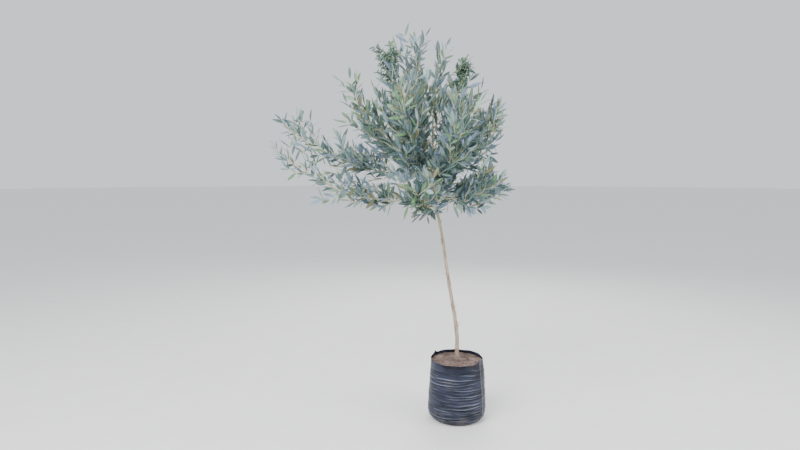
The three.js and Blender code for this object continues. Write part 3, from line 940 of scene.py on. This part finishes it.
def drySpurs():
    s = spurShape
    spurs = []
    for height, heading, steps in zip(s["heights"], s["headings"], s["steps"]):
        points = [pointOn(trunkAxis, height)]
        points.append(points[0] + direction(heading, s["rise"]) * trunkRadius(height) * s["start"])
        for i in range(1, steps + 1):
            turned = direction(heading + i * s["hook"], s["rise"] + i * s["hook"])
            points.append(points[-1] + turned * s["step"])
        spurs.append((np.array(points), *s["radii"]))
    return spurs


def makeLimbs():
    print("trunk and boughs: lines, joined skin and bark relief")
    step = growth["step"]
    below = trunkAxis[0] - np.array([0, 0, trunkShape["sunk"]])
    heights = [0] + [i * step for i in range(len(trunkAxis))]
    trunkPoints = np.vstack([below, trunkAxis, leader["line"][len(trunkAxis)]])
    radii = [swollenRadius(height) for height in heights] + [trunkShape["tipRadius"]]
    parts = [addLimb("trunk_line", trunkPoints, radii)]
    for limb in limbs:
        count = round(limb["bough"] / step) + 1
        radii = [boughRadius(limb, i * step) for i in range(count)]
        parts.append(addLimb("bough_line", limb["line"][:count], radii))
    for i, height in enumerate(stubShape["heights"]):
        outward = direction(i * stubShape["turn"], stubShape["rise"])
        reach = trunkRadius(height) / math.cos(math.radians(stubShape["rise"])) + stubShape["length"]
        foot = pointOn(trunkAxis, height)
        parts.append(addLimb("stub_line", [foot, foot + outward * reach], stubShape["radii"]))
    bpy.ops.object.select_all(action="DESELECT")
    for part in parts:
        part.select_set(True)
    bpy.context.view_layer.objects.active = parts[0]
    bpy.ops.object.convert(target="MESH")
    bpy.ops.object.join()
    tree = bpy.context.object
    tree.name = "trunk_and_boughs"
    applyModifier(tree, "REMESH", mode="VOXEL", voxel_size=limbShape["voxel"])
    applyModifier(tree, "SMOOTH", factor=limbShape["smoothShare"], iterations=limbShape["smoothing"])
    barkRelief(tree)
    pick(tree)
    bpy.ops.object.shade_smooth()
    settle(tree, "bark", [barkPaint()], ["trunk", *boughNodes])
    spurs = tubeMesh("dry_spurs", drySpurs(), spurShape["sides"])
    settle(spurs, "bark", [twigPaint("dry_bark", spurShape["pale"], spurShape["dark"])], ["trunk"])


# Foliage: the frame's twigs, finer twigs between and beyond them, and leaves in opposite pairs

twigShape = {
    "fineSeed": 500, "fineFirst": 0.35, "fineSpacing": 0.046, "fineTurn": 28,
    "fineAngle": (26, 48), "fineLength": (0.65, 1.20),
    "core": (-0.18, 0, 1.46),   # the crown is dense here and sparser away from it
    "thinning": (0.24, 0.60), "thinned": 0.88,
    "carryOn": (0.050, 0.085),  # how far a twig grows on past the frame's shorter one
    "stemCarryOn": 0.045,
    "turnUp": 0.11,             # how much a twig turns up with each step
    "boughSeed": 550, "boughBare": 0.20,    # share of a bough that is bare of twigs
    "boughSpacing": 0.032, "boughTwig": (0.055, 0.135), "boughTurn": 30, "boughShortest": 0.6,
    "sprigSeed": 800, "sprigFrom": 0.96, "sprigSpacing": 0.020, "sprigUneven": (0.7, 1.3),
    "sprigLength": (0.045, 0.110), "sprigAngle": (38, 62), "sprigTurn": 137, "sprigJitter": 20,
    "twigletSeed": 600, "twigletFirst": 0.040, "twigletSpacing": 0.055, "twigletAngle": (28, 46),
    "twigletLength": (0.035, 0.080), "twigletLift": 0.45, "twigletTurn": 180, "twigletJitter": 35,
    "twigRadii": (0.0023, 0.0013), "twigletRadii": (0.0015, 0.0010),
    "stemThinning": 0.75,       # the stem's tip in the scene, as a share of the frame's
    "sharpFrom": 70,
}
twigPieces = {                  # sides of each tube, slot and paint
    "stems": (8, "bark", "stem_bark", (218, 208, 174), (180, 168, 134)),
    "twigs": (5, "foliage", "twig_bark", (220, 216, 182), (182, 179, 144)),
    "twiglets": (4, "foliage", "twiglet_bark", (208, 212, 176), (170, 177, 140)),
}
leafShape = {
    "seed": 700,
    "length": (0.052, 0.094), "width": (0.19, 0.29),        # width as a share of the length
    "spacing": 0.043, "first": {"stems": 0.030, "twigs": 0.028, "twiglets": 0.012},
    "angle": (26, 56), "jitter": 16, "twist": 70, "tipAngle": (4, 18),
    "bend": (-0.05, 0.18), "hollow": 0.12, "thickness": 0.0007, "sharpFrom": 70,
    "clearance": 0.010, "past": 0.020,
    "sameKind": 0.35,           # share of the leaves that keep to their twig's own kind
    "olderShadedReach": (0.30, 0.60), "olderShadedStretch": (1, 1, 1.5),    # from the core, whose older leaves also stand for painted shade, out to only young leaves
    "rings": ((0.05, 0.16), (0.24, 0.74), (0.52, 1.00), (0.79, 0.66)),      # places along, shares of width
}
leafKinds = {                   # shares of the young leaves at the tips and of the older ones at the core, whose bluer, greyer mix is partly painted shade
    "grey": {"young": 0.31, "olderShaded": 0.36, "upper": (74, 101, 99), "under": (143, 168, 170)},
    "blue": {"young": 0.13, "olderShaded": 0.30, "upper": (80, 102, 119), "under": (140, 161, 183)},
    "dark": {"young": 0.22, "olderShaded": 0.25, "upper": (49, 75, 74), "under": (121, 146, 150)},
    "fresh": {"young": 0.23, "olderShaded": 0.06, "upper": (93, 128, 92), "under": (147, 175, 152)},
    "olive": {"young": 0.11, "olderShaded": 0.03, "upper": (112, 110, 80), "under": (144, 152, 128)},
}
leafSides = {                   # paler and darker tints of each side, and its roughness
    "upper": (1.12, 0.86, 0.42),
    "under": (1.08, 0.90, 0.66),
}
leafLook = {
    "blotches": (38, 4), "fine": (260, 2), "fineRoughness": 0.14, "bump": (0.2, 0.0004),
    "rib": (184, 194, 158), "ribWidth": (0.02, 0.16), "ribShare": 0.42,
}
twigLook = {
    "patches": (24, 4), "fine": (240, 3, (1, 1, 0.4)), "roughness": (0.62, 0.2), "bump": (0.3, 0.0005),
}
tuftShape = {                   # crowded, curled young leaves at the tips of two shoots
    "masses": ("outer_left", "top_right"),
    "within": 0.150,            # how far from the stem's tip they reach
    "shoots": 11, "shootLength": (0.040, 0.095), "shootAngle": (34, 66), "shootTurn": 137,
    "first": 0.008, "spacing": 0.0115, "turn": 67,
    "kinds": (("dark", 0.34), ("fresh", 0.80), ("grey", 1.0)),      # each with its running share
    "length": (0.024, 0.046), "width": (0.34, 0.54), "angle": (30, 76), "twist": 50, "bend": (0.15, 0.60),
}

# Leaves keep within the frame's box and a little more
lowEnd = np.array(cadBox[0]) - leafShape["past"]
highEnd = np.array(cadBox[1]) + leafShape["past"]


def nearestTo(points, cloud):
    return np.linalg.norm(points[:, None] - cloud[None], axis=2).min(axis=1)


def inOwnSpace(points, mass):
    mine = stemOwner == mass["index"]
    own = nearestTo(points, stemCloud[mine])
    inside = ((points > lowEnd) & (points < highEnd)).all(axis=1)
    return inside & (nearestTo(points, stemCloud[~mine]) > own + growth["spaceMargin"])


def clearOfLimbs(points, gap):
    return nearestTo(points, barePoints) > gap


def straightLine(start, heading, reach):
    steps = math.ceil(reach / growth["step"])
    return start + heading * growth["step"] * np.arange(steps + 1)[:, None]


def twigLine(start, heading, reach):
    upturned = heading.copy()
    upturned[2] += growth["twigLift"]
    return straightLine(start, unit(upturned), reach)


def keepsOff(line, mass):
    outer = line[math.ceil(growth["rootZone"] / growth["step"]):]
    if len(outer) == 0:
        return True
    return inOwnSpace(outer, mass).all() and clearOfLimbs(outer, growth["twigClearance"]).all()


def twigPair(mass, place, turn, angles, lengths, size, random):
    # two opposite twigs at one place on a mass's line, drawn one after the other
    along = tangentOn(mass["line"], place)
    for half in (0, 180):
        heading = branchOff(along, acrossFrom(along), turn + half, random(*angles))
        yield twigLine(pointOn(mass["line"], place), heading, size * random(*lengths))


def twigSize(mass, place):
    # twigs are shorter towards the tip of their stem
    return mass["spread"] * (1 - growth["twigTapering"] * (place - mass["bough"]) / mass["stem"])


def sideTwigs(mass):
    # the frame's own twigs, drawn as there
    g = growth
    random = seededRandom(g["twigSeed"] + mass["index"])
    twigs = []
    for node in range(math.floor((mass["stem"] - g["twigFirst"]) / g["twigSpacing"]) + 1):
        place = mass["bough"] + g["twigFirst"] + node * g["twigSpacing"]
        turn = node * g["pairTurn"] + random(-g["pairJitter"], g["pairJitter"])
        size = twigSize(mass, place)
        pair = twigPair(mass, place, turn, g["twigAngle"], g["twigLength"], size, random)
        twigs += [line for line in pair if keepsOff(line, mass)]
    return twigs


def fineTwigs(mass):
    # shorter twigs that fill the stem between the frame's own
    t = twigShape
    random = seededRandom(t["fineSeed"] + mass["index"])
    twigs = []
    for node in range(math.floor(mass["stem"] / t["fineSpacing"])):
        place = mass["bough"] + (node + t["fineFirst"]) * t["fineSpacing"]
        turn = (node + 0.5) * growth["pairTurn"] + random(-t["fineTurn"], t["fineTurn"])
        size = twigSize(mass, place)
        pair = twigPair(mass, place, turn, t["fineAngle"], t["fineLength"], size, random)
        twigs += [line for line in pair if not sparse(line[0], random) and keepsOff(line, mass)]
    return twigs


def boughTwigs(mass):
    # twigs on the outer part of the bough, longer towards its tip
    t = twigShape
    random = seededRandom(t["boughSeed"] + mass["index"])
    twigs = []
    place = mass["bough"] * t["boughBare"]
    node = 0
    while mass is not leader and place < mass["bough"]:
        turn = node * growth["pairTurn"] + random(-t["boughTurn"], t["boughTurn"])
        size = t["boughShortest"] + (1 - t["boughShortest"]) * place / mass["bough"]
        pair = twigPair(mass, place, turn, t["fineAngle"], t["boughTwig"], size, random)
        twigs += [line for line in pair if keepsOff(line, mass)]
        place += t["boughSpacing"]
        node += 1
    return twigs


def trunkSprigs():
    # short leafy shoots on the trunk among the boughs, each with the mass that it stands nearest to
    t = twigShape
    random = seededRandom(t["sprigSeed"])
    sprigs = []
    place = t["sprigFrom"]
    turn = 0
    while place < trunkShape["length"]:
        along = tangentOn(trunkAxis, place)
        heading = branchOff(along, acrossFrom(along), turn, random(*t["sprigAngle"]))
        line = twigLine(pointOn(trunkAxis, place), heading, random(*t["sprigLength"]))
        owner = stemOwner[np.linalg.norm(stemCloud - line[-1], axis=1).argmin()]
        mass = next(m for m in masses if m["index"] == owner)
        if keepsOff(line, mass):
            sprigs.append((line, mass))
        turn += t["sprigTurn"] + random(-t["sprigJitter"], t["sprigJitter"])
        place += t["sprigSpacing"] * random(*t["sprigUneven"])
    return sprigs


def sparse(place, random):
    # whether a twig is left out here, as the crown opens up away from its core
    t = twigShape
    return random(0, 1) < t["thinned"] * smoothFrom(np.linalg.norm(place - t["core"]), *t["thinning"])


def carriedOn(line, reach, mass):
    # grows a twig on from its tip, turning up
    points = list(line)
    heading = unit(line[-1] - line[-2])
    for _ in range(round(reach / growth["step"])):
        heading = unit(heading + np.array([0, 0, twigShape["turnUp"]]))
        point = points[-1] + heading * growth["step"]
        if not inOwnSpace(point[None], mass)[0]:
            break
        points.append(point)
    return np.array(points)


def twigletsOn(line, mass, random):
    t = twigShape
    twiglets = []
    length = t["twigletFirst"]
    side = random(0, 360)
    while length < (len(line) - 2) * growth["step"]:
        along = tangentOn(line, length)
        heading = branchOff(along, acrossFrom(along), side, random(*t["twigletAngle"]))
        heading[2] += t["twigletLift"]
        points = straightLine(pointOn(line, length), unit(heading), random(*t["twigletLength"]))
        free = inOwnSpace(points, mass).all() and clearOfLimbs(points[1:], growth["twigClearance"]).all()
        if free and not sparse(points[0], random):
            twiglets.append(points)
        side += t["twigletTurn"] + random(-t["twigletJitter"], t["twigletJitter"])
        length += t["twigletSpacing"]
    return twiglets


# how much a place lies in the core, where older leaves grow and the bluer, greyer mix also stands for
# painted shade
def olderShadedShare(place):
    away = (place - np.array(twigShape["core"])) * leafShape["olderShadedStretch"]
    return 1 - smoothFrom(np.linalg.norm(away), *leafShape["olderShadedReach"])


def lengthOf(line):
    return (len(line) - 1) * growth["step"]


def leafRow(shape, start, radius, axis, turn, angle, random):
    # one leaf: root, directions along it, across it and out of its face, length, width and bend
    along = branchOff(axis, acrossFrom(axis), turn, angle)
    face = unit(axis - along * axis.dot(along))
    face = turnAbout(face, along, random(-shape["twist"], shape["twist"]))
    length = random(*shape["length"])
    return (start + along * radius / 2, along, np.cross(face, along), face, length,
            random(*shape["width"]), random(*shape["bend"]))


def tuftShoots(stem, random):
    # short side shoots round the tip of a stem
    s = tuftShape
    reach = lengthOf(stem)
    shoots = []
    for i in range(s["shoots"]):
        place = reach - s["within"] * (i + 0.5) / s["shoots"]
        axis = tangentOn(stem, place)
        heading = branchOff(axis, acrossFrom(axis), i * s["shootTurn"], random(*s["shootAngle"]))
        shoots.append(twigLine(pointOn(stem, place), heading, random(*s["shootLength"])))
    return shoots


def tuftOn(line, radius, mass, random, pickKind, first):
    # crowded pairs of small leaves along the last stretch of a shoot
    s = tuftShape
    reach = lengthOf(line)
    turn = random(0, 360)
    for place in np.arange(max(first, reach - s["within"]), reach, s["spacing"]):
        axis = tangentOn(line, place)
        for half in (0, 180):
            row = leafRow(s, pointOn(line, place), radius, axis, turn + half, random(*s["angle"]), random)
            tip = row[0] + row[1] * row[4]
            if inOwnSpace(tip[None], mass)[0] and clearOfLimbs(tip[None], leafShape["clearance"])[0]:
                pickKind(tip).append(row)
        turn += s["turn"]


def leavesOn(line, radius, mass, random, pickKind, first):
    # opposite pairs of leaves, each pair square to the last, and one leaf at the tip
    s = leafShape
    own = pickKind(line[-1])
    reach = lengthOf(line)
    turn = random(0, 180)
    found = []
    for place in np.arange(first, reach, s["spacing"]):
        axis = tangentOn(line, place)
        for half in (0, 180):
            turned = turn + half + random(-s["jitter"], s["jitter"])
            found.append((pointOn(line, place), axis, turned, random(*s["angle"])))
        turn += growth["pairTurn"]
    found.append((line[-1], tangentOn(line, reach), random(0, 360), random(*s["tipAngle"])))
    for start, axis, turned, angle in found:
        row = leafRow(s, start, radius, axis, turned, angle, random)
        along, length = row[1], row[4]
        tests = np.array([start + along * length * share for share in (0.5, 1.0)])
        if inOwnSpace(tests, mass).all() and clearOfLimbs(tests, s["clearance"]).all():
            kind = own if random(0, 1) < s["sameKind"] else pickKind(start)
            kind.append(row)


def leafMesh(name, rows):
    # each leaf is a closed blade with a hollow upper side, its two sides in two paints
    s = leafShape
    root, along, side, face = (np.array([row[i] for row in rows])[:, None] for i in range(4))
    length, width, bend = (np.array([row[i] for row in rows])[:, None, None] for i in range(4, 7))
    corners = [(0, 0, 0, 0)]
    for place, broad in s["rings"]:
        corners += [(place, -broad, s["hollow"], 0), (place, 0, 0, 0),
                    (place, broad, s["hollow"], 0), (place, 0, 0, -1)]
    corners = np.array([*corners, (1, 0, 0, 0)])
    place, across, lift, below = (corners[None, :, i, None] for i in range(4))
    half = width * length / 2
    height = np.abs(across) * lift * half - bend * place * place * length + below * s["thickness"]
    points = root + along * place * length + side * across * half + face * height
    last = len(corners) - 1
    ringStarts = [1 + 4 * i for i in range(len(s["rings"]))]
    faces = []
    for corner in range(4):
        beside = (corner + 1) % 4
        faces.append((0, 1 + beside, 1 + corner))
        for start in ringStarts[:-1]:
            a, b = start + corner, start + beside
            faces += [(a, b, b + 4), (a, b + 4, a + 4)]
        faces.append((last, ringStarts[-1] + corner, ringStarts[-1] + beside))
    paints = np.repeat([0, 0, 1, 1], len(faces) // 4)       # two of the four strips face up
    count = len(rows)
    allFaces = np.array(faces)[None] + np.arange(count)[:, None, None] * len(corners)
    obj = newPiece(name, points.reshape(-1, 3), allFaces.reshape(-1, 3).tolist())
    obj.data.polygons.foreach_set("material_index", np.tile(paints, count))
    fromRib = obj.data.attributes.new("fromRib", "FLOAT", "POINT")
    fromRib.data.foreach_set("value", np.tile(np.abs(corners[:, 1]), count))
    outwards(obj)
    shadeSmooth(obj, s["sharpFrom"])
    return obj


def tubeMesh(name, tubes, sides):
    # closed round tubes, each (points, first radius, last radius)
    allPoints = []
    faces = []
    base = 0
    circle = np.arange(sides) * 2 * np.pi / sides
    for line, first, last in tubes:
        tangents = np.gradient(line, axis=0)
        across = acrossFrom(unit(tangents[0]))
        for i, (point, tangent) in enumerate(zip(line, tangents)):
            tangent = unit(tangent)
            across = unit(across - tangent * across.dot(tangent))
            beside = np.cross(tangent, across)
            radius = first + (last - first) * i / (len(line) - 1)
            ring = np.cos(circle)[:, None] * across + np.sin(circle)[:, None] * beside
            allPoints.append(point + radius * ring)
        for i in range(len(line) - 1):
            for j in range(sides):
                a, b = base + i * sides + j, base + i * sides + (j + 1) % sides
                faces.append((a, b, b + sides, a + sides))
        tip = base + (len(line) - 1) * sides
        faces.append(tuple(base + j for j in reversed(range(sides))))
        faces.append(tuple(tip + j for j in range(sides)))
        base = tip + sides
    obj = newPiece(name, np.vstack(allPoints), faces)
    outwards(obj)
    shadeSmooth(obj, twigShape["sharpFrom"])
    return obj


def leafPaint(side, kind):
    look = leafLook
    pale, dark, gloss = leafSides[side]
    colour = leafKinds[kind][side]
    paint = Paint("leaf_" + side + "_" + kind)
    blotches = paint.noise(*look["blotches"])
    fine = paint.noise(*look["fine"])
    blade = paint.mix(blotches, tinted(colour, dark), tinted(colour, pale))
    rib = (1 - paint.between(paint.stored("fromRib"), *look["ribWidth"])) * look["ribShare"]
    blade = paint.mix(rib, blade, look["rib"])
    return paint.finish(blade, gloss + look["fineRoughness"] * fine, fine, *look["bump"])


def twigPaint(name, pale, dark):
    look = twigLook
    paint = Paint(name)
    patches = paint.noise(*look["patches"])
    fine = paint.noise(*look["fine"])
    least, more = look["roughness"]
    return paint.finish(paint.mix(patches, dark, pale), least + more * fine, fine, *look["bump"])


def growCrown():
    # fills the lists of tubes and of leaf rows, mass by mass
    t, first = twigShape, leafShape["first"]
    tubes = {name: [] for name in twigPieces}
    leaves = {name: [] for name in leafKinds}
    names = list(leafKinds)
    trunkShoots = trunkSprigs()
    for mass in masses:
        random = seededRandom(t["twigletSeed"] + mass["index"])
        leafRandom = seededRandom(leafShape["seed"] + mass["index"])

        def pickKind(place):
            olderShaded = olderShadedShare(place)
            shares = [kind["young"] + (kind["olderShaded"] - kind["young"]) * olderShaded
                      for kind in leafKinds.values()]
            return leaves[names[int(np.searchsorted(np.cumsum(shares), leafRandom(0, 0.9999)))]]

        def pickYoung(place):
            drawn = leafRandom(0, 1)
            return leaves[next(name for name, share in tuftShape["kinds"] if drawn < share)]

        start = round(mass["bough"] / growth["step"]) - 1
        stem = carriedOn(mass["line"][start:], t["stemCarryOn"], mass)
        tubes["stems"].append((stem, mass["stemRadius"], growth["stemTip"] * t["stemThinning"]))
        leavesOn(stem, growth["stemTip"], mass, leafRandom, pickKind, first["stems"])
        tufted = mass["name"] in tuftShape["masses"]
        if tufted:
            tuftOn(stem, growth["stemTip"], mass, leafRandom, pickYoung, 0)
            for shoot in tuftShoots(stem, leafRandom):
                tubes["twiglets"].append((shoot, *t["twigletRadii"]))
                tuftOn(shoot, t["twigletRadii"][1], mass, leafRandom, pickYoung, tuftShape["first"])
        sprigs = [line for line, owner in trunkShoots if owner is mass]
        for line in sideTwigs(mass) + fineTwigs(mass) + boughTwigs(mass) + sprigs:
            twig = carriedOn(line, random(*t["carryOn"]), mass)
            tubes["twigs"].append((twig, *t["twigRadii"]))
            nearTip = tufted and np.linalg.norm(twig[0] - stem[-1]) < tuftShape["within"]
            dress, pickFor = (tuftOn, pickYoung) if nearTip else (leavesOn, pickKind)
            dress(twig, t["twigRadii"][1], mass, leafRandom, pickFor, first["twigs"])
            for twiglet in twigletsOn(twig, mass, random):
                tubes["twiglets"].append((twiglet, *t["twigletRadii"]))
                dress(twiglet, t["twigletRadii"][1], mass, leafRandom, pickFor, first["twiglets"])
    return tubes, leaves


def makeFoliage():
    print("foliage: stems, twigs and leaves")
    tubes, leaves = growCrown()
    print("foliage:", {name: len(rows) for name, rows in (tubes | leaves).items()})
    for name, (sides, slot, paintName, pale, dark) in twigPieces.items():
        piece = tubeMesh(name, tubes[name], sides)
        settle(piece, slot, [twigPaint(paintName, pale, dark)], foliageNodes)
    for kind in leafKinds:
        piece = leafMesh("leaves_" + kind, leaves[kind])
        settle(piece, "foliage", [leafPaint(side, kind) for side in leafSides], foliageNodes)


# Stage, light and camera

studio = {
    "floorReach": 60, "floorSides": 64, "floor": (238, 237, 235), "floorTints": (0.98, 1.02),
    "floorGrain": (6, 4), "floorRoughness": 0.8,
    "eye": (-0.34, -3.36, 1.46), "pitch": 5.2, "lens": 26, "sensor": 36,
    "sky": (236, 240, 246), "skyStrength": 1.12,
    "key": {"place": (-2.6, -3.2, 4.2), "size": 3.2, "watts": 330},
    "fill": {"place": (3.4, -1.8, 2.6), "size": 3.0, "watts": 110},
    "back": {"place": (0.6, 3.6, 3.8), "size": 3.0, "watts": 130},
    "aim": (-0.2, 0, 1.2),
}


def addLight(name, spot):
    bpy.ops.object.light_add(type="AREA", location=spot["place"])
    light = bpy.context.object
    light.name = name
    light.data.size = spot["size"]
    light.data.energy = spot["watts"]
    aim = Vector(studio["aim"]) - Vector(spot["place"])
    light.rotation_euler = aim.to_track_quat("-Z", "Y").to_euler()


def makeStudio():
    print("stage: floor, lights and camera")
    bpy.ops.object.select_all(action="DESELECT")
    bpy.ops.mesh.primitive_circle_add(vertices=studio["floorSides"], radius=studio["floorReach"],
                                      fill_type="NGON")
    floor = bpy.context.object
    floor.name = "floor"
    paint = Paint("pale_floor")
    grain = paint.noise(*studio["floorGrain"])
    darker, paler = (tinted(studio["floor"], factor) for factor in studio["floorTints"])
    paint.feed(paint.surface, "Base Color", paint.mix(grain, darker, paler))
    paint.surface.inputs["Roughness"].default_value = studio["floorRoughness"]
    floor.data.materials.append(paint.material)
    for name in ("key", "fill", "back"):
        addLight(name, studio[name])
    world = bpy.context.scene.world or bpy.data.worlds.new("studio")
    bpy.context.scene.world = world
    world.use_nodes = True
    backdrop = world.node_tree.nodes["Background"]
    backdrop.inputs["Color"].default_value = shade(*studio["sky"])
    backdrop.inputs["Strength"].default_value = studio["skyStrength"]
    bpy.ops.object.camera_add(location=studio["eye"], rotation=(math.radians(90 - studio["pitch"]), 0, 0))
    camera = bpy.context.object
    camera.data.lens = studio["lens"]
    camera.data.sensor_width = studio["sensor"]
    bpy.context.scene.camera = camera


makeBag()
soilObject = makeSoil()
makeCrumbs(soilObject)
makeLimbs()
makeFoliage()
makeStudio()
